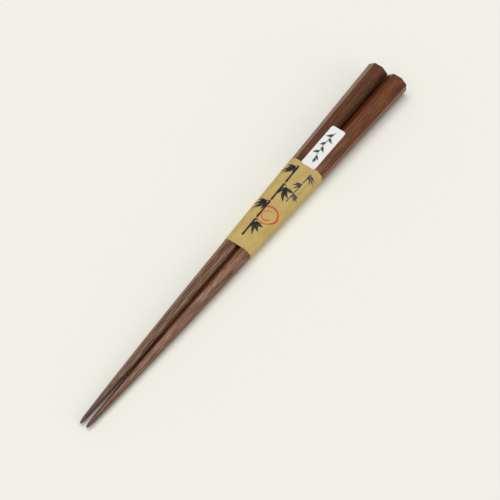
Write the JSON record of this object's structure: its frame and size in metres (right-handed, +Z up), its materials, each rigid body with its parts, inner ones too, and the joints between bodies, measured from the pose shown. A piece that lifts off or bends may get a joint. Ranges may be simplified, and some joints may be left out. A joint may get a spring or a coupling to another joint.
{
  "type": "octagonal chopsticks",
  "caption": "A pair of octagonal wooden chopsticks lying side by side, held together by a printed paper band and a small white paper label.",
  "frame": {"origin": "under the middle of the pair, on the surface that it lies on", "axes": "+Y runs along the sticks from the tips to the butts, +X across the pair, +Z up through the label"},
  "size_m": [0.0216, 0.235, 0.0109],
  "materials": {
    "wood": "satin oiled",
    "band_paper": "matte",
    "label_paper": "satin"
  },
  "bodies": {
    "root": {"chopstick_left": "wood", "chopstick_right": "wood", "paper_band": "band_paper", "paper_label": "label_paper"}
  },
  "joints": []
}
